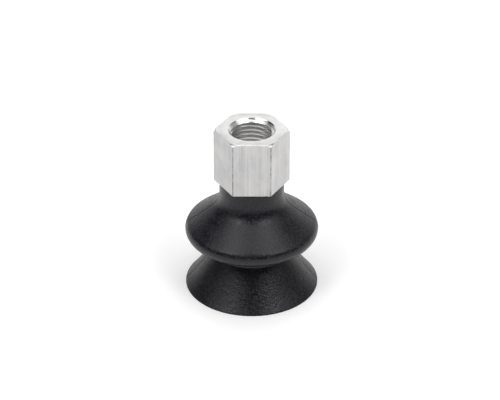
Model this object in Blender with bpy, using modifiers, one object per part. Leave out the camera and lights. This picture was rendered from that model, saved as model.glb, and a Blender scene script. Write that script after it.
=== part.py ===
"""Bellows vacuum suction cup with one and a half folds, on a hexagonal aluminium connector.

The connector is one turned piece: a hexagon with a female G1/4 port on top, and a barbed spigot
underneath. The cup is one rubber moulding pushed over the spigot. It is divided here at three
level planes into the zones that move differently: the collar that grips the spigot, the fold
that closes on the stroke, the flexible waist, and the flared sealing lip.

Metres, +Z up. The origin is the centre of the lip's rim, in the plane that it seals on.
"""

import math

import bmesh
import bpy
from mathutils import Vector

# Hexagonal connector
HEX_ACROSS_FLATS = 0.0190
HEX_LENGTH = 0.0168
HEX_CORNER_CUT = 0.0008  # how far the top chamfer comes in from the corners, along the radius
HEX_CHAMFER_ANGLE = math.radians(38)  # of the chamfer, from level

# Female port: G1/4 parallel pipe thread with 55 degree flanks
THREAD_MAJOR_DIAMETER = 0.013157
THREAD_PITCH = 0.001337
THREAD_HALF_ANGLE = math.radians(27.5)
THREAD_DEPTH_SHARE = 0.6403  # thread depth as a share of the pitch, from the thread's standard
THREAD_ROOT_FLAT_SHARE = 0.165  # width of the groove's bottom as a share of the pitch
PORT_DEPTH = 0.0125
PORT_CHAMFER = 0.0003  # radial margin of the mouth's chamfer over the major diameter
DRILL_POINT_HALF_ANGLE = math.radians(59)

# Spigot under the hexagon, with one barb
PASSAGE_DIAMETER = 0.0068
SPIGOT_ROOT_WALL = 0.0026
SPIGOT_TIP_WALL = 0.0029
SPIGOT_ROOT_LENGTH = 0.0022
BARB_HEIGHT = 0.0014  # how far the barb stands out of the root, along the radius
BARB_LAND = 0.0010
BARB_TAPER_LENGTH = 0.0033

# Rubber cup, outside
LIP_DIAMETER = 0.0392
RIM_HEIGHT = 0.0003  # upright edge of the lip
SKIRT_RISE = 0.0119  # from the rim's upper edge to the waist
WAIST_DIAMETER = 0.0220
UNDERSIDE_RISE = 0.0061  # from the waist to the fold's crest
FOLD_DIAMETER = 0.0391
SHOULDER_RISE = 0.0094  # from the crest to the foot of the collar
COLLAR_WALL = 0.00275  # rubber round the spigot's tip
COLLAR_MARGIN = 0.0003  # of the collar's foot below the spigot's tip

# Rubber cup, walls and roundings
SHOULDER_WALL = 0.0020
UNDERSIDE_WALL = 0.0019
SKIRT_WALL = 0.0018  # at the waist, thinning to the rim
RIM_WIDTH = 0.0010
COLLAR_FILLET = 0.0066
CREST_ROUNDING = 0.0028
WAIST_FILLET = 0.0012

# Planes that divide the moulding, as heights above or below its own features
FOLD_TOP_RISE = 0.0005  # above the collar's foot
FOLD_FOOT_RISE = 0.0013  # above the waist
WAIST_FOOT_DROP = 0.0023  # below the waist

SEAT_GAP = 0.0003  # between rubber and metal, and between the zones of the moulding
OVERCUT = 0.0010  # by which a cutter runs past the face that it opens
ROUND_STEPS = 48
BLANK_STEPS = 72  # a multiple of the hexagon's sides, so that its corners are cut alike
THREAD_STEPS = 36  # sides of the port and of one turn of its thread
ARC_STEP = math.radians(24)
SHARP_ANGLE = math.radians(30)
WELD_DISTANCE = 1e-7  # within which the points that a cut leaves are one

# Radii
LIP_RADIUS = LIP_DIAMETER / 2
WAIST_RADIUS = WAIST_DIAMETER / 2
FOLD_RADIUS = FOLD_DIAMETER / 2
PASSAGE_RADIUS = PASSAGE_DIAMETER / 2
SPIGOT_ROOT_RADIUS = PASSAGE_RADIUS + SPIGOT_ROOT_WALL
SPIGOT_TIP_RADIUS = PASSAGE_RADIUS + SPIGOT_TIP_WALL
BARB_RADIUS = SPIGOT_ROOT_RADIUS + BARB_HEIGHT
COLLAR_BORE_RADIUS = SPIGOT_TIP_RADIUS + SEAT_GAP
COLLAR_RADIUS = COLLAR_BORE_RADIUS + COLLAR_WALL
THREAD_MAJOR_RADIUS = THREAD_MAJOR_DIAMETER / 2
THREAD_MINOR_RADIUS = THREAD_MAJOR_RADIUS - THREAD_DEPTH_SHARE * THREAD_PITCH
PORT_MOUTH_RADIUS = THREAD_MAJOR_RADIUS + PORT_CHAMFER
HEX_CORNER_RADIUS = HEX_ACROSS_FLATS / 2 / math.cos(math.pi / 6)

# Heights above the sealing plane
WAIST_Z = RIM_HEIGHT + SKIRT_RISE
CREST_Z = WAIST_Z + UNDERSIDE_RISE
COLLAR_FOOT_Z = CREST_Z + SHOULDER_RISE
SPIGOT_TIP_Z = COLLAR_FOOT_Z + COLLAR_MARGIN
BARB_LAND_Z = SPIGOT_TIP_Z + BARB_TAPER_LENGTH
BARB_TOP_Z = BARB_LAND_Z + BARB_LAND
HEX_FOOT_Z = BARB_TOP_Z + SPIGOT_ROOT_LENGTH
HEX_TOP_Z = HEX_FOOT_Z + HEX_LENGTH
FOLD_TOP_Z = COLLAR_FOOT_Z + FOLD_TOP_RISE
FOLD_FOOT_Z = WAIST_Z + FOLD_FOOT_RISE
WAIST_FOOT_Z = WAIST_Z - WAIST_FOOT_DROP


def new_collection(name):
    """An empty collection in the scene."""
    collection = bpy.data.collections.new(name)
    bpy.context.scene.collection.children.link(collection)
    return collection


def new_material(name, colour, roughness, metallic):
    """A plain finish for one kind of piece."""
    material = bpy.data.materials.new(name)
    material.use_nodes = True
    shader = material.node_tree.nodes["Principled BSDF"]
    shader.inputs["Base Color"].default_value = (*colour, 1)
    shader.inputs["Roughness"].default_value = roughness
    shader.inputs["Metallic"].default_value = metallic
    return material


def new_object(name, mesh, collection):
    """An object of this mesh, in this collection only."""
    obj = bpy.data.objects.new(name, mesh)
    collection.objects.link(obj)
    return obj


def turned(name, profile, collection, closed=False, base_z=0.0, steps=ROUND_STEPS):
    """A round solid from (radius, height) points that run down its outer side.

    A profile that isn't closed starts and ends on the axis. The object's origin is on the axis
    at base_z.
    """
    mesh = bpy.data.meshes.new(name)
    points = [(radius, 0, height - base_z) for radius, height in profile]
    edges = [(i, i + 1) for i in range(len(points) - 1)]
    if closed:
        edges.append((len(points) - 1, 0))
    mesh.from_pydata(points, edges, [])
    obj = new_object(name, mesh, collection)
    obj.location.z = base_z
    screw = obj.modifiers.new("turning", "SCREW")
    screw.steps = screw.render_steps = steps
    screw.use_merge_vertices = True
    screw.merge_threshold = 0.000001
    return obj


def cut(obj, tool, operation):
    """Joins, cuts or trims obj with another solid, which isn't shown."""
    tool.hide_render = True
    tool.display_type = "WIRE"
    boolean = obj.modifiers.new(tool.name, "BOOLEAN")
    boolean.operation = operation
    boolean.object = tool
    boolean.solver = "EXACT"


def settle(obj, material):
    """Fixes the modifiers' result as the object's own mesh, shaded smooth between sharp edges."""
    bpy.context.view_layer.update()
    graph = bpy.context.evaluated_depsgraph_get()
    mesh = bpy.data.meshes.new_from_object(obj.evaluated_get(graph))
    welded = bmesh.new()
    welded.from_mesh(mesh)
    bmesh.ops.remove_doubles(welded, verts=welded.verts, dist=WELD_DISTANCE)
    welded.to_mesh(mesh)
    welded.free()
    obj.modifiers.clear()
    obj.data = mesh
    mesh.name = obj.name
    mesh.materials.clear()
    mesh.materials.append(material)
    mesh.shade_smooth()
    mesh.set_sharp_from_angle(angle=SHARP_ANGLE)
    return obj


def hold(child, parent):
    """Parents child where it stands."""
    bpy.context.view_layer.update()
    child.parent = parent
    child.matrix_parent_inverse = parent.matrix_world.inverted()


def joint_empty(name, z, parent, collection):
    """An empty on the cup's axis, where a joint acts."""
    empty = new_object(name, None, collection)
    empty.empty_display_size = SKIRT_RISE
    empty.location.z = z
    if parent:
        hold(empty, parent)
    return empty


# Outline of the rubber's wall


def rounded(corners):
    """The points of a line whose corners, each (radius, height, rounding), are rounded off."""
    places = [Vector((corner[0], corner[1])) for corner in corners]
    points = [places[0]]
    for before, place, after, corner in zip(places, places[1:], places[2:], corners[1:]):
        back, ahead = before - place, after - place
        half = back.angle(ahead) / 2
        room = 0.9 * min(back.length, ahead.length) * math.tan(half)
        rounding = min(corner[2], room)
        if rounding <= 0:
            points.append(place)
            continue
        reach = rounding / math.tan(half)
        middle = (back.normalized() + ahead.normalized()).normalized()
        centre = place + middle * rounding / math.sin(half)
        start = place + back.normalized() * reach - centre
        end = place + ahead.normalized() * reach - centre
        turn = start.angle(end)
        count = max(2, math.ceil(turn / ARC_STEP))
        for step in range(count + 1):
            share = step / count
            arm = math.sin((1 - share) * turn) * start + math.sin(share * turn) * end
            points.append(centre + arm / math.sin(turn))
    points.append(places[-1])
    return [(point.x, point.y) for point in points]


def shifted(start, end, distance):
    """The line from start to end moved sideways by distance, to its left."""
    along = (Vector(end) - Vector(start)).normalized()
    side = Vector((-along.y, along.x)) * distance
    return Vector(start) + side, along


def meeting(first, second):
    """Where two lines, each a point and a direction, cross."""
    (p, u), (q, v) = first, second
    share = (q - p).cross(v) / u.cross(v)
    return p + share * u


def crest_corner_radius():
    """Radius of the sharp corner whose rounding leaves the fold at its own diameter.

    The corner's two sides fall to the collar and the waist, so the rounded crest stands in from
    the corner by an amount that depends on their slopes, which depend on the corner in turn.
    """
    corner = FOLD_RADIUS
    for _ in range(40):
        to_collar = Vector((COLLAR_RADIUS - corner, SHOULDER_RISE))
        to_waist = Vector((WAIST_RADIUS - corner, -UNDERSIDE_RISE))
        half = to_collar.angle(to_waist) / 2
        middle = (to_collar.normalized() + to_waist.normalized()).normalized()
        corner = FOLD_RADIUS - CREST_ROUNDING - middle.x * CREST_ROUNDING / math.sin(half)
    return corner


CREST_CORNER = (crest_corner_radius(), CREST_Z)
COLLAR_CORNER = (COLLAR_RADIUS, COLLAR_FOOT_Z)
WAIST_CORNER = (WAIST_RADIUS, WAIST_Z)
RIM_CORNER = (LIP_RADIUS, RIM_HEIGHT)


def outer_line():
    """The moulding's outside, from the collar's top down to the sealing plane."""
    return rounded([
        (COLLAR_RADIUS, HEX_FOOT_Z - SEAT_GAP, 0),
        (*COLLAR_CORNER, COLLAR_FILLET),
        (*CREST_CORNER, CREST_ROUNDING),
        (*WAIST_CORNER, WAIST_FILLET),
        (*RIM_CORNER, 0),
        (LIP_RADIUS, 0, 0),
    ])


def inner_line():
    """The moulding's inside, from the collar's top down to the sealing plane.

    The collar's bore follows the spigot. Below it the walls run at their own distance inside
    the outer line.
    """
    shoulder = shifted(CREST_CORNER, COLLAR_CORNER, SHOULDER_WALL)
    underside = shifted(WAIST_CORNER, CREST_CORNER, UNDERSIDE_WALL)
    skirt_top = shifted(RIM_CORNER, WAIST_CORNER, SKIRT_WALL)[0] + Vector(WAIST_CORNER)
    skirt_top -= Vector(RIM_CORNER)
    rim = Vector((LIP_RADIUS - RIM_WIDTH, 0))
    skirt = rim, (skirt_top - rim).normalized()
    bore = Vector((COLLAR_BORE_RADIUS, 0)), Vector((0, 1))
    return rounded([
        (SPIGOT_ROOT_RADIUS + SEAT_GAP, HEX_FOOT_Z - SEAT_GAP, 0),
        (SPIGOT_ROOT_RADIUS + SEAT_GAP, BARB_TOP_Z + SEAT_GAP, 0),
        (BARB_RADIUS + SEAT_GAP, BARB_TOP_Z + SEAT_GAP, 0),
        (BARB_RADIUS + SEAT_GAP, BARB_LAND_Z, 0),
        (COLLAR_BORE_RADIUS, SPIGOT_TIP_Z, 0),
        (*meeting(bore, shoulder), COLLAR_FILLET),
        (*meeting(shoulder, underside), max(CREST_ROUNDING - UNDERSIDE_WALL, 0)),
        (*meeting(underside, skirt), WAIST_FILLET + SKIRT_WALL),
        (*rim, 0),
    ])


def between(line, high, low):
    """The stretch of a falling line between two heights, with its cut ends."""
    found = []
    for (r0, z0), (r1, z1) in zip(line, line[1:]):
        for height in (high, low):
            if z1 < height < z0:
                share = (z0 - height) / (z0 - z1)
                found.append((r0 + share * (r1 - r0), height))
        if low <= z1 <= high:
            found.append((r1, z1))
    if low <= line[0][1] <= high:
        found.insert(0, line[0])
    return found


def rubber_zone(name, high, low, base_z, collection, material):
    """One zone of the moulding: its wall between two level planes, turned about the axis."""
    outside = between(outer_line(), high, low)
    inside = between(inner_line(), high, low)
    zone = turned(name, outside + inside[::-1], collection, closed=True, base_z=base_z)
    return settle(zone, material)


# Connector


def chamfered_blank(collection):
    """The round blank that leaves the chamfer on the hexagon's top corners."""
    face_radius = HEX_CORNER_RADIUS - HEX_CORNER_CUT
    top_radius = face_radius - OVERCUT / math.tan(HEX_CHAMFER_ANGLE)
    blank_radius = HEX_CORNER_RADIUS + OVERCUT
    drop = (blank_radius - face_radius) * math.tan(HEX_CHAMFER_ANGLE)
    blank = turned("chamfered_blank", [
        (0, HEX_TOP_Z + OVERCUT),
        (top_radius, HEX_TOP_Z + OVERCUT),
        (blank_radius, HEX_TOP_Z - drop),
        (blank_radius, HEX_FOOT_Z - OVERCUT),
        (0, HEX_FOOT_Z - OVERCUT),
    ], collection, steps=BLANK_STEPS)
    blank.rotation_euler.z = math.pi / BLANK_STEPS  # a facet faces each corner, not an edge
    return blank


def spigot(collection):
    """The barbed spigot, let into the hexagon so that the two join."""
    return turned("spigot", [
        (0, HEX_FOOT_Z + OVERCUT),
        (SPIGOT_ROOT_RADIUS, HEX_FOOT_Z + OVERCUT),
        (SPIGOT_ROOT_RADIUS, BARB_TOP_Z),
        (BARB_RADIUS, BARB_TOP_Z),
        (BARB_RADIUS, BARB_LAND_Z),
        (SPIGOT_TIP_RADIUS, SPIGOT_TIP_Z),
        (0, SPIGOT_TIP_Z),
    ], collection)


def port_drill(collection):
    """Tap drill, mouth chamfer and through passage, as one turned cutter."""
    mouth_top = HEX_TOP_Z + OVERCUT
    port_floor = HEX_TOP_Z - PORT_DEPTH
    cone_drop = (THREAD_MINOR_RADIUS - PASSAGE_RADIUS) / math.tan(DRILL_POINT_HALF_ANGLE)
    return turned("port_drill", [
        (0, mouth_top),
        (PORT_MOUTH_RADIUS + OVERCUT, mouth_top),
        (THREAD_MINOR_RADIUS, HEX_TOP_Z - (PORT_MOUTH_RADIUS - THREAD_MINOR_RADIUS)),
        (THREAD_MINOR_RADIUS, port_floor),
        (PASSAGE_RADIUS, port_floor - cone_drop),
        (PASSAGE_RADIUS, SPIGOT_TIP_Z - OVERCUT),
        (0, SPIGOT_TIP_Z - OVERCUT),
    ], collection, steps=THREAD_STEPS)


def thread_cutter(collection):
    """The thread's groove as one helical solid, from above the mouth down into the port."""
    root = THREAD_ROOT_FLAT_SHARE * THREAD_PITCH / 2
    inner_radius = THREAD_MINOR_RADIUS - (THREAD_MAJOR_RADIUS - THREAD_MINOR_RADIUS) / 6
    flank = (THREAD_MAJOR_RADIUS - inner_radius) * math.tan(THREAD_HALF_ANGLE)
    lead_in = 1.5 * THREAD_PITCH
    run_out = THREAD_PITCH
    turns = math.floor((PORT_DEPTH + lead_in - run_out) / THREAD_PITCH)
    start_z = HEX_TOP_Z + lead_in - turns * THREAD_PITCH
    half_step = math.pi / THREAD_STEPS
    tool = bmesh.new()
    corners = [
        tool.verts.new((
            radius * math.cos(half_step), radius * math.sin(half_step), start_z + height
        ))
        for radius, height in (
            (inner_radius, -root - flank),
            (THREAD_MAJOR_RADIUS, -root),
            (THREAD_MAJOR_RADIUS, root),
            (inner_radius, root + flank),
        )
    ]
    face = tool.faces.new(corners)
    bmesh.ops.spin(
        tool,
        geom=[face, *face.edges, *face.verts],
        axis=(0, 0, 1),
        dvec=(0, 0, THREAD_PITCH / THREAD_STEPS),
        angle=turns * math.tau,
        steps=turns * THREAD_STEPS,
    )
    bmesh.ops.recalc_face_normals(tool, faces=tool.faces)
    mesh = bpy.data.meshes.new("thread_cutter")
    tool.to_mesh(mesh)
    tool.free()
    return new_object("thread_cutter", mesh, collection)


def hex_connector(collection, cutters, material):
    """The turned connector: hexagon, spigot, port and thread in one piece of bar."""
    bpy.ops.mesh.primitive_cylinder_add(
        vertices=6,
        radius=HEX_CORNER_RADIUS,
        depth=HEX_LENGTH,
        location=(0, 0, HEX_FOOT_Z + HEX_LENGTH / 2),
        rotation=(0, 0, math.radians(30)),
    )
    body = bpy.context.object
    body.name = "hex_connector"
    for holder in list(body.users_collection):
        holder.objects.unlink(body)
    collection.objects.link(body)
    cut(body, chamfered_blank(cutters), "INTERSECT")
    cut(body, spigot(cutters), "UNION")
    cut(body, port_drill(cutters), "DIFFERENCE")
    cut(body, thread_cutter(cutters), "DIFFERENCE")
    return settle(body, material)


def main():
    for obj in list(bpy.data.objects):
        bpy.data.objects.remove(obj)
    cup = new_collection("bellows_suction_cup")
    cutters = new_collection("cutters")
    aluminium = new_material("turned_aluminium", (0.78, 0.78, 0.77), 0.35, 1.0)
    rubber = new_material("black_rubber", (0.022, 0.022, 0.024), 0.55, 0.0)

    connector = hex_connector(cup, cutters, aluminium)
    top_z = HEX_FOOT_Z - SEAT_GAP
    half_gap = SEAT_GAP / 2
    collar = rubber_zone("cup_collar", top_z, FOLD_TOP_Z + half_gap, 0, cup, rubber)
    fold = rubber_zone(
        "bellows_fold", FOLD_TOP_Z - half_gap, FOLD_FOOT_Z + half_gap, FOLD_FOOT_Z, cup, rubber
    )
    waist = rubber_zone(
        "waist_web", FOLD_FOOT_Z - half_gap, WAIST_FOOT_Z + half_gap, WAIST_Z, cup, rubber
    )
    lip = rubber_zone("sealing_lip", WAIST_FOOT_Z - half_gap, 0, WAIST_Z, cup, rubber)

    stroke = joint_empty("bellows_stroke", FOLD_FOOT_Z, None, cup)
    tilt_x = joint_empty("tilt_about_x", WAIST_Z, stroke, cup)
    tilt_y = joint_empty("tilt_about_y", WAIST_Z, tilt_x, cup)
    hold(collar, connector)
    hold(fold, stroke)
    hold(waist, tilt_x)
    hold(lip, tilt_y)


main()
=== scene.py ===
import math

import bmesh
import bpy
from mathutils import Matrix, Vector


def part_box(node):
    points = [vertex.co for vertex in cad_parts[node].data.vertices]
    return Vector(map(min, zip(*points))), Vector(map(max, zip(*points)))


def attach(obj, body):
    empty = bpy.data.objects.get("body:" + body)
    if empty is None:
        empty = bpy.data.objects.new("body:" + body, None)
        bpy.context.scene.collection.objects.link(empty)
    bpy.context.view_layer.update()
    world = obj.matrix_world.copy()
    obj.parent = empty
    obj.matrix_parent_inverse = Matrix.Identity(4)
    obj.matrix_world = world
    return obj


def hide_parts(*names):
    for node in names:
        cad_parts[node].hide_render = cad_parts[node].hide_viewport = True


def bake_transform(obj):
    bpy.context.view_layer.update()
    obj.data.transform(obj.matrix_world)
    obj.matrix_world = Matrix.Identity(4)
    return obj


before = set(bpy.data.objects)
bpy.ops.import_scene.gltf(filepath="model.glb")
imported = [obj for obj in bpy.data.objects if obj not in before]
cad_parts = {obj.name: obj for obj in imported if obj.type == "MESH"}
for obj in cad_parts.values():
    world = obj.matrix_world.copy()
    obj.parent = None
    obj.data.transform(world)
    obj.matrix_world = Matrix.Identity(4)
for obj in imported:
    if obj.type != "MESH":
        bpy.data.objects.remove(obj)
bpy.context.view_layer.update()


# ---- Hexagonal connector --------------------------------------------------------------------
# One piece of drawn hexagonal aluminium bar, with its lengthwise drawing marks on its flats.
# Its top, its corner chamfers and the barbed spigot that holds the cup are turned on a lathe,
# and a female G1/4 thread, whose rows follow its right-hand lead, is tapped into its top.

connector_foot, connector_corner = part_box("hex_connector")
hex_top = connector_corner.z
seat_gap = 0.0003
hex_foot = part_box("cup_collar")[1].z + seat_gap
flat_distance = connector_corner.y
corner_rounding = 0.00020
top_face_radius = 0.01017
chamfer_slope = math.tan(math.radians(38))
edge_break = 0.00008
nick_angle = math.radians(-66.5)
nick_width = math.radians(1.6)
nick_height = 0.00016

mouth_radius = 0.00688
thread_major_radius = 0.0065785
thread_minor_radius = 0.005723
thread_pitch = 0.001337
port_floor = hex_top - 0.0125
rows_per_turn = 16
tap_drill_radius = 0.00585

spigot_tip = connector_foot.z
spigot_root_radius = 0.0060
spigot_tip_radius = 0.0063
barb_radius = 0.0074
barb_land_foot = spigot_tip + 0.0033
barb_land_top = barb_land_foot + 0.0010
passage_radius = 0.0034
drill_point_drop = (tap_drill_radius - passage_radius) / math.tan(math.radians(59))

metal_columns = 360
metal_bunching = 0.92  # how far the columns crowd towards the hexagon's corners
weld = 0.000001
sharp_angle = math.radians(30)

# The painted shade round the top's outermost edge, a dark band: where it starts and is full,
# upwards and outwards, and where it ends below the top face.
band_foot, band_full = hex_top - 0.00036, hex_top - 0.00020
band_fade, band_end = hex_top - 0.00006, hex_top - 0.00004
band_inner, band_outer = 0.0085, 0.0095
dark_corner_start = connector_corner.x - 0.00016
dark_corner_full = connector_corner.x - 0.00005
# Where the painted shade on the bar's left flats is full and where it starts.
left_shade_full, left_shade_start = -0.0062, -0.0052

turned_colour = (0.86, 0.86, 0.85)
chamfer_colour = (0.93, 0.93, 0.92)
tapped_colour = (0.92, 0.91, 0.90)
dull_share = 0.86  # how bright the smears on a turned face are, against its clean metal
# Painted shade along the top's outermost edge, on the corner chamfers' upper part.
edge_shade_colour = (0.45, 0.45, 0.46)
bar_dark = (0.47, 0.47, 0.475)
bar_light = (0.655, 0.65, 0.645)
# Painted shade on the bar's left flats.
left_shade_colour = (0.42, 0.42, 0.425)
warm_colour = (0.65, 0.62, 0.60)
pit_colour = (0.36, 0.35, 0.34)
corner_colour = (0.16, 0.16, 0.165)
drawn, turned, bright, tapped = range(4)  # the connector's materials, in their order


class Signal:
    """A value in a node tree. Arithmetic on it adds Math nodes."""

    def __init__(self, socket):
        self.socket = socket
        self.tree = socket.id_data

    def node(self, kind, settings=None, inputs=None, output=0):
        """Adds any node to the tree: its settings first, then its inputs' values or links."""
        added = self.tree.nodes.new(kind)
        for name, value in (settings or {}).items():
            setattr(added, name, value)
        for name, value in (inputs or {}).items():
            if isinstance(value, Signal):
                self.tree.links.new(value.socket, added.inputs[name])
            else:
                added.inputs[name].default_value = value
        return Signal(added.outputs[output])

    def maths(self, operation, first, second=0.0):
        return self.node("ShaderNodeMath", {"operation": operation}, {0: first, 1: second})

    def __add__(self, other):
        return self.maths("ADD", self, other)

    def __sub__(self, other):
        return self.maths("SUBTRACT", self, other)

    def __rsub__(self, other):
        return self.maths("SUBTRACT", other, self)

    def __mul__(self, other):
        return self.maths("MULTIPLY", self, other)

    def __truediv__(self, other):
        return self.maths("DIVIDE", self, other)

    __radd__ = __add__
    __rmul__ = __mul__

    def sine(self):
        return self.maths("SINE", self)

    def cosine(self):
        return self.maths("COSINE", self)

    def size(self):
        return self.maths("ABSOLUTE", self)

    def at_least(self, low):
        return self.maths("MAXIMUM", self, low)

    def at_most(self, high):
        return self.maths("MINIMUM", self, high)

    def rise(self, low, high):
        """0 up to low, 1 from high on, and a smooth rise between them."""
        settings = {"interpolation_type": "SMOOTHSTEP"}
        return self.node("ShaderNodeMapRange", settings, {0: self, 1: low, 2: high})

    def parts(self):
        """The three coordinates of a position or direction."""
        first = self.node("ShaderNodeSeparateXYZ", None, {0: self})
        return [Signal(socket) for socket in first.socket.node.outputs]


def new_rule(name, sizes):
    """A geometry tree with one named input for each size, which are returned as signals."""
    tree = bpy.data.node_groups.new(name, "GeometryNodeTree")
    kinds = {"Geometry": "Geometry", "Material": "Material"}
    kinds.update(sizes)
    for size, kind in kinds.items():
        tree.interface.new_socket(size, in_out="INPUT", socket_type="NodeSocket" + kind)
    tree.interface.new_socket("Shape", in_out="OUTPUT", socket_type="NodeSocketGeometry")
    start = tree.nodes.new("NodeGroupInput")
    return tree, {size: Signal(start.outputs[size]) for size in kinds}


def round_grid(size, columns, rows):
    """A grid of this many columns and rows, and each point's own column and row."""
    index = size.node("GeometryNodeInputIndex")
    grid = size.node("GeometryNodeMeshGrid", None, {
        "Size X": 1.0, "Size Y": 1.0, "Vertices X": columns, "Vertices Y": rows
    })
    share = index / rows
    column = share.maths("FLOOR", share)
    return grid, column, index - column * rows


def end_rule(tree, grid, place, material):
    """Puts the grid's points in place, closes its seams and gives the shape its material."""
    moved = grid.node("GeometryNodeSetPosition", None, {"Geometry": grid, "Position": place})
    closed = grid.node("GeometryNodeMergeByDistance", None, {
        "Geometry": moved, "Distance": weld
    })
    real = grid.node("GeometryNodeRealizeInstances", None, {"Geometry": closed})
    finished = grid.node("GeometryNodeSetMaterial", None, {
        "Geometry": real, "Material": material
    })
    end = tree.nodes.new("NodeGroupOutput")
    tree.links.new(finished.socket, end.inputs["Shape"])


def thread_rule():
    """The bore's wall: a grid whose rows climb one pitch in each turn, cut off level."""
    tree, size = new_rule("threaded_bore", {
        "Columns": "Int", "Bunching": "Float", "Rows": "Int", "Rows per turn": "Int",
        "Top": "Float", "Floor": "Float", "Mouth radius": "Float", "Major radius": "Float",
        "Minor radius": "Float", "Drill radius": "Float", "Pitch": "Float",
    })
    grid, column, row = round_grid(size["Top"], size["Columns"] + 1, size["Rows"] + 1)
    turn = column / size["Columns"] * math.tau
    angle = turn - (turn * 6).sine() * size["Bunching"] / 6
    climb = angle / math.tau * size["Pitch"]
    height = size["Top"] + climb - row * size["Pitch"] / size["Rows per turn"]
    height = height.at_most(size["Top"]).at_least(size["Floor"])
    phase = (height - climb - size["Top"]) / size["Pitch"] * 2
    wave = phase.maths("PINGPONG", phase, 1.0)
    cut = 0.5 - (wave * math.pi).cosine() * 0.5
    run_out = (height - size["Floor"] - size["Pitch"]) / size["Pitch"]
    depth = (size["Major radius"] - size["Minor radius"]) * run_out.at_least(0.0).at_most(1.0)
    chamfer = size["Mouth radius"] - size["Top"] + height
    thread = (size["Minor radius"] + depth * cut).at_least(size["Drill radius"])
    radius = thread.at_least(chamfer)
    place = radius.node("ShaderNodeCombineXYZ", None, {
        0: radius * angle.cosine(), 1: radius * angle.sine(), 2: height
    })
    end_rule(tree, grid, place, size["Material"])
    return tree


def made_by(rule, name, mesh, sizes):
    """The plain mesh object that a rule makes from a mesh, at these sizes."""
    made = bpy.data.objects.new(name, mesh)
    bpy.context.collection.objects.link(made)
    modifier = made.modifiers.new(name, "NODES")
    modifier.node_group = rule
    for socket in rule.interface.items_tree:
        if socket.name in sizes:
            modifier[socket.identifier] = sizes[socket.name]
    bpy.context.view_layer.update()
    graph = bpy.context.evaluated_depsgraph_get()
    plain = bpy.data.meshes.new_from_object(made.evaluated_get(graph))
    made.modifiers.clear()
    made.data = plain
    plain.name = name
    return made


def new_finish(name, colour, roughness, metallic):
    """A material, its shader, and the object position for its patterns."""
    finish = bpy.data.materials.new(name)
    finish.use_nodes = True
    shader = finish.node_tree.nodes["Principled BSDF"]
    shader.inputs["Base Color"].default_value = (*colour, 1)
    shader.inputs["Roughness"].default_value = roughness
    shader.inputs["Metallic"].default_value = metallic
    position = finish.node_tree.nodes.new("ShaderNodeTexCoord").outputs["Object"]
    return finish, shader, Signal(position)


def feed(shader, **signals):
    """Links signals to the shader's sockets; an underscore stands for a space."""
    for name, signal in signals.items():
        signal.tree.links.new(signal.socket, shader.inputs[name.replace("_", " ")])


def noise(place, scale, detail=2.0, roughness=0.5):
    """Soft random variation, mostly from 0.3 to 0.7, with scale counted in cells a metre."""
    if isinstance(scale, tuple):
        place = place.node("ShaderNodeMapping", None, {"Vector": place, "Scale": scale})
        scale = 1.0
    return place.node("ShaderNodeTexNoise", None, {
        "Vector": place, "Scale": scale, "Detail": detail, "Roughness": roughness
    })


def blended(share, first, second):
    """Colour first where share is 0, colour second where it is 1."""
    colours = {0: share}
    for socket, colour in ((6, first), (7, second)):
        colours[socket] = colour if isinstance(colour, Signal) else (*colour, 1)
    return share.node("ShaderNodeMix", {"data_type": "RGBA"}, colours, output=2)


def bumped(height, depth, strength=1.0):
    """A bump of this depth in metres where height goes from 0 to 1."""
    return height.node("ShaderNodeBump", None, {
        "Strength": strength, "Distance": depth, "Height": height
    })


def from_axis(x, y):
    """Distance from the cup's axis."""
    square = x * x + y * y
    return square.maths("SQRT", square)


def cut_aluminium(name, clean, roughness, ring_pitch, ring_depth):
    """A freshly cut face: bright, with the tool's fine rings and painted shade on its outermost
    edge.
    """
    dull = [dull_share * level for level in clean]
    finish, shader, place = new_finish(name, clean, roughness, 1.0)
    x, y, z = place.parts()
    radius = from_axis(x, y)
    rings = ((radius + z) * (math.tau / ring_pitch)).sine()
    smears = noise(place, 420, 3.0, 0.6)
    grain = noise(place, 3000, 2.0, 0.6)
    high = z.rise(band_foot, band_full)
    below_top = 1 - z.rise(band_fade, band_end)
    # Painted shade: a dark band along the top's outermost edge, on the corner chamfers' upper
    # part.
    edge_shade = high * below_top * radius.rise(band_inner, band_outer)
    face = blended((smears * 0.6 + grain * 0.4).rise(0.36, 0.62), dull, clean)
    feed(
        shader,
        Base_Color=blended(edge_shade * 0.8, face, edge_shade_colour),
        Roughness=smears * 0.5 * roughness + 0.75 * roughness,
        Normal=bumped(rings * 0.4 + grain, ring_depth),
    )
    return finish


turned_face = cut_aluminium("turned_face", turned_colour, 0.34, 0.00016, 0.000006)
bright_chamfer = cut_aluminium("bright_chamfer", chamfer_colour, 0.14, 0.00009, 0.000002)
tapped_wall = cut_aluminium("tapped_wall", tapped_colour, 0.30, 0.00005, 0.000001)

row_drop = thread_pitch / rows_per_turn
bore_rows = math.ceil((hex_top - port_floor + thread_pitch) / row_drop)
port_wall = made_by(thread_rule(), "port_wall", bpy.data.meshes.new("port_wall"), {
    "Columns": metal_columns, "Bunching": metal_bunching, "Rows": bore_rows,
    "Rows per turn": rows_per_turn, "Top": hex_top, "Floor": port_floor,
    "Mouth radius": mouth_radius, "Major radius": thread_major_radius,
    "Minor radius": thread_minor_radius, "Drill radius": tap_drill_radius,
    "Pitch": thread_pitch, "Material": tapped_wall,
})


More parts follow.
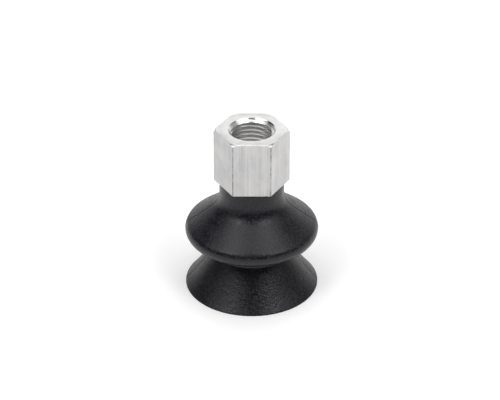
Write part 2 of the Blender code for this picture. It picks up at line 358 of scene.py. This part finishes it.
def drawn_aluminium():
    """The bar's own skin: satin, streaked along its length, and dark on its corners."""
    finish, shader, place = new_finish("drawn_aluminium", bar_light, 0.4, 1.0)
    x, y, _ = place.parts()
    fine = noise(place, (4200, 4200, 45), 3.0, 0.65)
    broad = noise(place, (800, 800, 25), 2.0, 0.5)
    clouds = noise(place, (190, 190, 120), 3.0, 0.6)
    streaks = fine * 0.6 + broad * 0.4
    tone = streaks * 0.7 + clouds * 0.3
    skin = blended(tone.rise(0.38, 0.62), bar_dark, bar_light)
    # Painted shade: the flats towards the left are painted darker.
    left_shade = 1 - x.rise(left_shade_full, left_shade_start)
    skin = blended(left_shade * 0.35, skin, left_shade_colour)
    warm = noise(place, (150, 150, 260), 2.0, 0.5).rise(0.45, 0.65)
    skin = blended(warm * 0.4, skin, warm_colour)
    pits = noise(place, 2300, 2.0, 0.6).rise(0.66, 0.74)
    skin = blended(pits * 0.6, skin, pit_colour)
    # The corners are painted darker, more in some patches than in others.
    corner = from_axis(x, y).rise(dark_corner_start, dark_corner_full)
    corner_patches = noise(place, (300, 300, 420), 2.0, 0.6).rise(0.35, 0.6) * 0.55 + 0.3
    skin = blended(corner * corner_patches, skin, corner_colour)
    feed(
        shader,
        Base_Color=skin,
        Roughness=streaks * 0.3 + 0.25,
        Normal=bumped(streaks + clouds * 0.4 - pits * 0.5, 0.00002, 0.6),
    )
    return finish


def hexagon_radius(angle):
    """Distance from the axis to the bar's side at this angle, with its corners rounded."""
    off_corner = abs((angle + math.radians(30)) % math.radians(60) - math.radians(30))
    centre = (flat_distance - corner_rounding) / math.cos(math.radians(30))
    touch = math.atan2(corner_rounding / 2, centre + corner_rounding * math.cos(math.radians(30)))
    if off_corner > touch:
        return flat_distance / math.cos(math.radians(30) - off_corner)
    reach = math.sqrt(corner_rounding**2 - (centre * math.sin(off_corner)) ** 2)
    return centre * math.cos(off_corner) + reach


def chamfer_height(angle):
    """Height at which the corner chamfer's cone runs out on the bar's side."""
    return hex_top - max(hexagon_radius(angle) - top_face_radius, edge_break) * chamfer_slope


def foot_height(angle):
    """The sawn foot's height, with one small nick in its edge."""
    off = (angle - nick_angle + math.pi) % math.tau - math.pi
    return hex_foot + nick_height * max(0, 1 - (off / nick_width) ** 2)


def top_edge(angle):
    """Outer edge of the turned top face."""
    return min(hexagon_radius(angle), top_face_radius)


def ring(tool, radius, height):
    """A ring of points; radius and height are each a number or a rule for each angle."""
    points = []
    for column in range(metal_columns):
        turn = column / metal_columns * math.tau
        angle = turn - metal_bunching * math.sin(6 * turn) / 6
        r = radius(angle) if callable(radius) else radius
        z = height(angle) if callable(height) else height
        points.append(tool.verts.new((r * math.cos(angle), r * math.sin(angle), z)))
    return points


def connector_shell(tool):
    """Faces from the port's mouth over the top, down the outside and up the passage."""
    rings = [
        (mouth_radius, hex_top, turned),
        (lambda a: top_edge(a) - edge_break, hex_top, turned),
        (top_edge, lambda a: hex_top - edge_break / 2, bright),
        (hexagon_radius, chamfer_height, bright),
        (hexagon_radius, lambda a: foot_height(a) + edge_break, drawn),
        (lambda a: hexagon_radius(a) - edge_break, foot_height, turned),
        (spigot_root_radius, hex_foot, turned),
        (spigot_root_radius, barb_land_top, turned),
        (barb_radius, barb_land_top, turned),
        (barb_radius, barb_land_foot, turned),
        (spigot_tip_radius, spigot_tip + edge_break, turned),
        (spigot_tip_radius - edge_break, spigot_tip, turned),
        (passage_radius + edge_break, spigot_tip, turned),
        (passage_radius, spigot_tip + edge_break, turned),
        (passage_radius, port_floor - drill_point_drop, turned),
        (tap_drill_radius, port_floor, turned),
    ]
    before = None
    for radius, height, kind in rings:
        points = ring(tool, radius, height)
        if before:
            for here, after in zip(range(metal_columns), [*range(1, metal_columns), 0]):
                face = tool.faces.new((before[here], points[here], points[after], before[after]))
                face.material_index = kind
        before = points


def hexagonal_connector():
    """The shell and the threaded bore welded into one closed piece."""
    tool = bmesh.new()
    tool.from_mesh(port_wall.data)
    for face in tool.faces:
        in_chamfer = face.calc_center_median().z > hex_top - mouth_radius + thread_major_radius
        face.material_index = bright if in_chamfer else tapped
    connector_shell(tool)
    bmesh.ops.remove_doubles(tool, verts=tool.verts, dist=weld)
    bmesh.ops.dissolve_degenerate(tool, edges=tool.edges, dist=weld)
    bmesh.ops.recalc_face_normals(tool, faces=tool.faces)
    mesh = bpy.data.meshes.new("connector_metal")
    tool.to_mesh(mesh)
    tool.free()
    for finish in (drawn_aluminium(), turned_face, bright_chamfer, tapped_wall):
        mesh.materials.append(finish)
    mesh.shade_smooth()
    mesh.set_sharp_from_angle(angle=sharp_angle)
    piece = bpy.data.objects.new("connector_metal", mesh)
    bpy.context.collection.objects.link(piece)
    return piece


connector_metal = hexagonal_connector()
bpy.data.objects.remove(port_wall)
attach(connector_metal, "connector")
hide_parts("hex_connector")


# ---- Rubber cup -----------------------------------------------------------------------------
# One compression-moulded piece of black nitrile rubber, round about the cup's axis: a collar
# stretched over the spigot, one full fold, a waist and a flared lip. The mould's halves meet
# on the XZ plane and leave a fine raised line down both sides. Each skin is a stretch of it.

fold_foot, fold_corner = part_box("bellows_fold")
waist_foot, waist_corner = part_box("waist_web")
lip_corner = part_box("sealing_lip")[1]
collar_gap = 0.00008
collar_top = hex_foot - collar_gap
fold_cut = (fold_foot.z + waist_corner.z) / 2
lip_cut = (waist_foot.z + lip_corner.z) / 2

collar_radius = 0.00935
collar_edge = 0.0002
collar_foot = 0.0277
collar_fillet = 0.0066
crest_height = 0.0183
crest_rounding = 0.0028
waist_radius = 0.0110
waist_height = 0.0122
waist_fillet = 0.0012
flare_depth = 0.00042
flare_distance = 0.0080
flare_rounding = 0.100
rim_height = 0.0003
rim_width = 0.0010
rim_rounding = 0.0002
shoulder_wall = 0.0020
underside_wall = 0.0019
skirt_wall = 0.0018
bore_clearance = 0.0001
arc_step = math.radians(7)
row_spacing = 0.0005
rubber_columns = 256
rubber_bunching = 0.90  # how far the columns crowd towards the mould's line
line_height = 0.00006
line_width = 0.00016
side_share = 0.9  # how much of its shorter side a corner's rounding may take
settling_rounds = 40

rubber_colour = (0.001, 0.001, 0.005)
bloom_colour = (0.005, 0.0052, 0.0085)
speck_colour = (0.018, 0.018, 0.0205)
# The rear half's specks: its coarser grain, painted lighter as painted light from behind.
rear_speck_and_sheen_colour = (0.030, 0.030, 0.032)
# Painted shade along the mould's line, for the shadow beside its raised ridge.
line_shade_colour = (0.0, 0.0, 0.001)
lip_grain_full = 0.0050
lip_grain_end = 0.0095


def rounded(corners):
    """A line through these corners, each (radius, height, rounding), as evenly spaced points."""
    places = [Vector(corner[:2]) for corner in corners]
    points = [places[0]]
    for before, place, after, corner in zip(places, places[1:], places[2:], corners[1:]):
        back, ahead = before - place, after - place
        half = back.angle(ahead) / 2
        room = side_share * min(back.length, ahead.length) * math.tan(half)
        rounding = min(corner[2], room)
        if rounding > 0:
            middle = (back.normalized() + ahead.normalized()).normalized()
            centre = place + middle * rounding / math.sin(half)
            start = place + back.normalized() * rounding / math.tan(half) - centre
            end = place + ahead.normalized() * rounding / math.tan(half) - centre
            turn = start.angle(end)
            count = math.ceil(max(turn / arc_step, turn * rounding / row_spacing))
            for step in range(count + 1):
                share = step / count
                arm = math.sin((1 - share) * turn) * start + math.sin(share * turn) * end
                points.append(centre + arm / math.sin(turn))
        else:
            points.append(place)
    points.append(places[-1])
    spaced = [points[0]]
    for start, end in zip(points, points[1:]):
        count = max(1, math.ceil((end - start).length / row_spacing))
        spaced += [start.lerp(end, step / count) for step in range(1, count + 1)]
    return spaced


def shifted(start, end, distance):
    """The line from start to end moved to its left, as a point and a direction."""
    along = (Vector(end) - Vector(start)).normalized()
    return Vector(start) + Vector((-along.y, along.x)) * distance, along


def meeting(first, second):
    """Where two lines, each a point and a direction, cross."""
    (p, u), (q, v) = first, second
    return p + (q - p).cross(v) / u.cross(v) * u


def crest_corner():
    """Where the fold's two slopes would meet, if its crest weren't rounded."""
    radius = fold_corner.x
    for _ in range(settling_rounds):
        up = Vector((collar_radius - radius, collar_foot - crest_height)).normalized()
        down = Vector((waist_radius - radius, waist_height - crest_height)).normalized()
        inward = (up + down).normalized()
        reach = crest_rounding / math.sin(up.angle(down) / 2)
        radius = fold_corner.x - crest_rounding - inward.x * reach
    return radius, crest_height


def skirt_flare():
    """The corner that makes the skirt's outer line a little hollower than a straight cone."""
    waist, rim = (waist_radius, waist_height), (lip_corner.x, rim_height)
    start, along = shifted(waist, rim, -flare_depth)
    return start + along * flare_distance


def outside():
    """The outer line, from the collar's top to the rim."""
    return rounded([
        (collar_radius - collar_edge, collar_top, 0),
        (collar_radius, collar_top - collar_edge, 0),
        (collar_radius, collar_foot, collar_fillet),
        (*crest_corner(), crest_rounding),
        (waist_radius, waist_height, waist_fillet),
        (*skirt_flare(), flare_rounding),
        (lip_corner.x, rim_height, rim_rounding),
        (lip_corner.x, 0, 0),
    ])


def inside():
    """The inner line, from the collar's top to the rim. The bore grips the barb."""
    crest, collar = crest_corner(), (collar_radius, collar_foot)
    waist, rim = (waist_radius, waist_height), (lip_corner.x, rim_height)
    shoulder = shifted(crest, collar, shoulder_wall)
    underside = shifted(waist, crest, underside_wall)
    skirt_top = shifted(rim, waist, skirt_wall)[0] + Vector(waist) - Vector(rim)
    edge = Vector((lip_corner.x - rim_width, 0))
    skirt = edge, (skirt_top - edge).normalized()
    bore = Vector((spigot_tip_radius + 3 * bore_clearance, 0)), Vector((0, 1))
    groove_radius = barb_radius + bore_clearance
    return rounded([
        (spigot_root_radius + bore_clearance, collar_top, 0),
        (spigot_root_radius + bore_clearance, barb_land_top + bore_clearance, 0),
        (groove_radius, barb_land_top + bore_clearance, 0),
        (groove_radius, barb_land_foot, 0),
        (spigot_tip_radius + bore_clearance, spigot_tip, 0),
        (*meeting(bore, shoulder), collar_fillet),
        (*meeting(shoulder, underside), max(crest_rounding - underside_wall, 0)),
        (*meeting(underside, skirt), waist_fillet + skirt_wall),
        (*edge, 0),
    ])


def stretch(line, high, low):
    """The part of a falling line between two heights, with its cut ends."""
    found = [line[0]] if low <= line[0].y <= high else []
    for start, end in zip(line, line[1:]):
        for height in (high, low):
            if end.y < height < start.y:
                found.append(start.lerp(end, (start.y - height) / (start.y - end.y)))
        if low <= end.y <= high:
            found.append(end)
    return found


def skin_outline(name, high, low):
    """The closed outline of one skin, each point with the way in which its surface faces."""
    outer = stretch(outside(), high, low)
    loop = outer + stretch(inside(), high, low)[::-1]
    mesh = bpy.data.meshes.new(name)
    count = len(loop)
    edges = [(place, (place + 1) % count) for place in range(count)]
    mesh.from_pydata([(point.x, 0, point.y) for point in loop], edges, [])
    facing = mesh.attributes.new("facing", "FLOAT_VECTOR", "POINT")
    for place in range(len(outer)):
        before = outer[max(place - 1, 0)]
        after = outer[min(place + 1, len(outer) - 1)]
        along = (after - before).normalized()
        facing.data[place].vector = (-along.y, 0, along.x)
    return mesh


def skin_rule():
    """Turns an outline round the axis, with the mould's line standing out on both sides."""
    tree, size = new_rule("turned_skin", {
        "Columns": "Int", "Bunching": "Float", "Line height": "Float", "Line width": "Float",
        "Largest radius": "Float",
    })
    outline = size["Geometry"]
    points = outline.node("GeometryNodeAttributeDomainSize", None, {0: outline})
    grid, column, row = round_grid(outline, size["Columns"] + 1, points + 1)
    place_in_outline = row.maths("FLOORED_MODULO", row, points)

    def sampled(value):
        vectors = {"data_type": "FLOAT_VECTOR"}
        inputs = {"Geometry": outline, "Value": value, "Index": place_in_outline}
        return outline.node("GeometryNodeSampleIndex", vectors, inputs).parts()

    radius, _, height = sampled(outline.node("GeometryNodeInputPosition"))
    facing = outline.node(
        "GeometryNodeInputNamedAttribute", {"data_type": "FLOAT_VECTOR"}, {"Name": "facing"}
    )
    out, _, up = sampled(facing)
    turn = column / size["Columns"] * math.tau
    angle = turn - (turn * 2).sine() * size["Bunching"] / 2
    aside = (radius * angle.sine()).size() / size["Line width"]
    line = (1 - aside.rise(0.0, 1.0)) * size["Line height"]
    reach = (radius + out * line).at_most(size["Largest radius"])
    place = outline.node("ShaderNodeCombineXYZ", None, {
        0: reach * angle.cosine(), 1: reach * angle.sine(), 2: height + up * line
    })
    end_rule(tree, grid, place, size["Material"])
    return tree


def black_rubber():
    """Matte rubber with a spark-eroded grain, coarser on the lip and the mould's rear half."""
    finish, shader, place = new_finish("black_rubber", bloom_colour, 0.42, 0.0)
    shader.inputs["Specular IOR Level"].default_value = 0.42
    _, y, z = place.parts()
    rear = y.rise(-0.0001, 0.0002)
    fine = noise(place, 1900, 2.0, 0.6)
    coarse = noise(place, 1100, 3.0, 0.65)
    bloom = noise(place, 260, 3.0, 0.55).rise(0.38, 0.66)
    specks = fine.rise(0.46, 0.66)
    line = 1 - y.size().rise(line_width * 0.6, line_width * 1.8)
    colour = blended(bloom * 0.3, rubber_colour, bloom_colour)
    colour = blended(specks * 0.8, colour, speck_colour)
    # The rear half's specks are its coarser grain, painted lighter as painted light from behind.
    colour = blended(rear * specks * 0.7, colour, rear_speck_and_sheen_colour)
    # Painted shade along the mould's line, for the shadow beside its raised ridge.
    colour = blended(line, colour, line_shade_colour)
    lip = 1 - z.rise(lip_grain_full, lip_grain_end)
    height = fine * 0.9 + coarse * (rear * 1.6 + lip * 0.7 + 0.3)
    feed(
        shader,
        Base_Color=colour,
        Roughness=bloom * 0.05 + specks * 0.16 + rear * 0.06 + 0.29,
        Normal=bumped(height, 0.0001, 0.9),
    )
    return finish


def rubber_skin(name, high, low):
    """One stretch of the moulding as a closed, smooth piece."""
    skin = made_by(turned_skin, name, skin_outline(name, high, low), {
        "Columns": rubber_columns, "Bunching": rubber_bunching, "Line height": line_height,
        "Line width": line_width, "Largest radius": lip_corner.x, "Material": rubber,
    })
    tool = bmesh.new()
    tool.from_mesh(skin.data)
    bmesh.ops.recalc_face_normals(tool, faces=tool.faces)
    tool.to_mesh(skin.data)
    tool.free()
    skin.data.shade_smooth()
    skin.data.set_sharp_from_angle(angle=sharp_angle)
    return skin


rubber = black_rubber()
turned_skin = skin_rule()
bellows_skin = rubber_skin("bellows_skin", collar_top, fold_cut)
waist_skin = rubber_skin("waist_skin", fold_cut, lip_cut)
lip_skin = rubber_skin("lip_skin", lip_cut, 0)

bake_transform(bellows_skin)
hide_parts("cup_collar", "bellows_fold")
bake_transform(waist_skin)
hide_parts("waist_web")
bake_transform(lip_skin)
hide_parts("sealing_lip")


# ---- Floor, light and camera ----------------------------------------------------------------
# A white light table under the cup, a dark room in front, a bright wall behind, and softboxes
# overhead and to both sides, as in a small product studio.

floor_reach = 3.0
floor_drop = 0.00002
camera_distance = 0.600
camera_elevation = math.radians(31.24)
aim = Vector((-0.0005, 0, 0.02765))
lens_length = 147.98
sensor_width = 36.0

table_colour = (0.90, 0.90, 0.90)
table_glow = 0.20

room_light = 0.05
wall_light = 1.05
low_loss = 0.4
right_gain = 0.25
soft_start, soft_end = 0.7, 1.3  # where a softbox's edge fades, as shares of its half size
# Azimuth and elevation in degrees, half width and half height as tangents, and strength.
softboxes = [
    (0, 80, 0.42, 0.26, 1.25),
    (180, 76, 0.42, 0.30, 1.6),
    (-72, 52, 0.26, 0.44, 1.3),
    (72, 52, 0.26, 0.44, 1.3),
    (-43, 49, 0.16, 0.12, 6.8),
    (43, 49, 0.16, 0.12, 6.8),
    (112, 18, 0.35, 0.40, 0.25),
]


def light_table():
    """The floor's plain white finish, lit a little from below."""
    finish, shader, _ = new_finish("light_table", table_colour, 0.6, 0.0)
    shader.inputs["Specular IOR Level"].default_value = 0.1
    shader.inputs["Emission Color"].default_value = (1, 1, 1, 1)
    shader.inputs["Emission Strength"].default_value = table_glow
    return finish


def studio_sky():
    """The light from each direction round the cup."""
    world = bpy.data.worlds.new("studio")
    bpy.context.scene.world = world
    world.use_nodes = True
    background = world.node_tree.nodes["Background"]
    towards = Signal(world.node_tree.nodes.new("ShaderNodeTexCoord").outputs["Generated"])
    x, y, z = towards.parts()

    def softbox(azimuth, elevation, half_width, half_height):
        """A soft-edged rectangle of light; azimuths count to the right from the front."""
        around, up = math.radians(azimuth), math.radians(elevation)
        middle = Vector((
            math.sin(around) * math.cos(up), -math.cos(around) * math.cos(up), math.sin(up)
        ))
        right = Vector((math.cos(around), math.sin(around), 0))
        top = middle.cross(right)
        ahead = (x * middle.x + y * middle.y + z * middle.z).at_least(0.01)
        aside = ((x * right.x + y * right.y) / ahead).size()
        above = ((x * top.x + y * top.y + z * top.z) / ahead).size()
        across = 1 - aside.rise(soft_start * half_width, soft_end * half_width)
        upright = 1 - above.rise(soft_start * half_height, soft_end * half_height)
        return across * upright

    wall = y.rise(0.45, 0.85)
    low = 1 - z.rise(0.0, 0.22)
    light = room_light + wall * (wall_light - low * low_loss + x * right_gain)
    for azimuth, elevation, half_width, half_height, strength in softboxes:
        light = light + softbox(azimuth, elevation, half_width, half_height) * strength
    world.node_tree.links.new(light.socket, background.inputs["Strength"])
    background.inputs["Color"].default_value = (1, 1, 1, 1)


bpy.ops.mesh.primitive_plane_add(size=2 * floor_reach, location=(0, 0, -floor_drop))
floor = bpy.context.object
floor.name = "floor"
floor.data.materials.append(light_table())
studio_sky()

camera_data = bpy.data.cameras.new("camera")
camera_data.lens = lens_length
camera_data.sensor_width = sensor_width
camera_data.clip_start = 0.01
camera = bpy.data.objects.new("camera", camera_data)
bpy.context.collection.objects.link(camera)
back = Vector((0, -math.cos(camera_elevation), math.sin(camera_elevation)))
camera.location = aim + back * camera_distance
camera.rotation_euler = (-back).to_track_quat("-Z", "Y").to_euler()
bpy.context.scene.camera = camera
bpy.context.scene.view_settings.view_transform = "Standard"
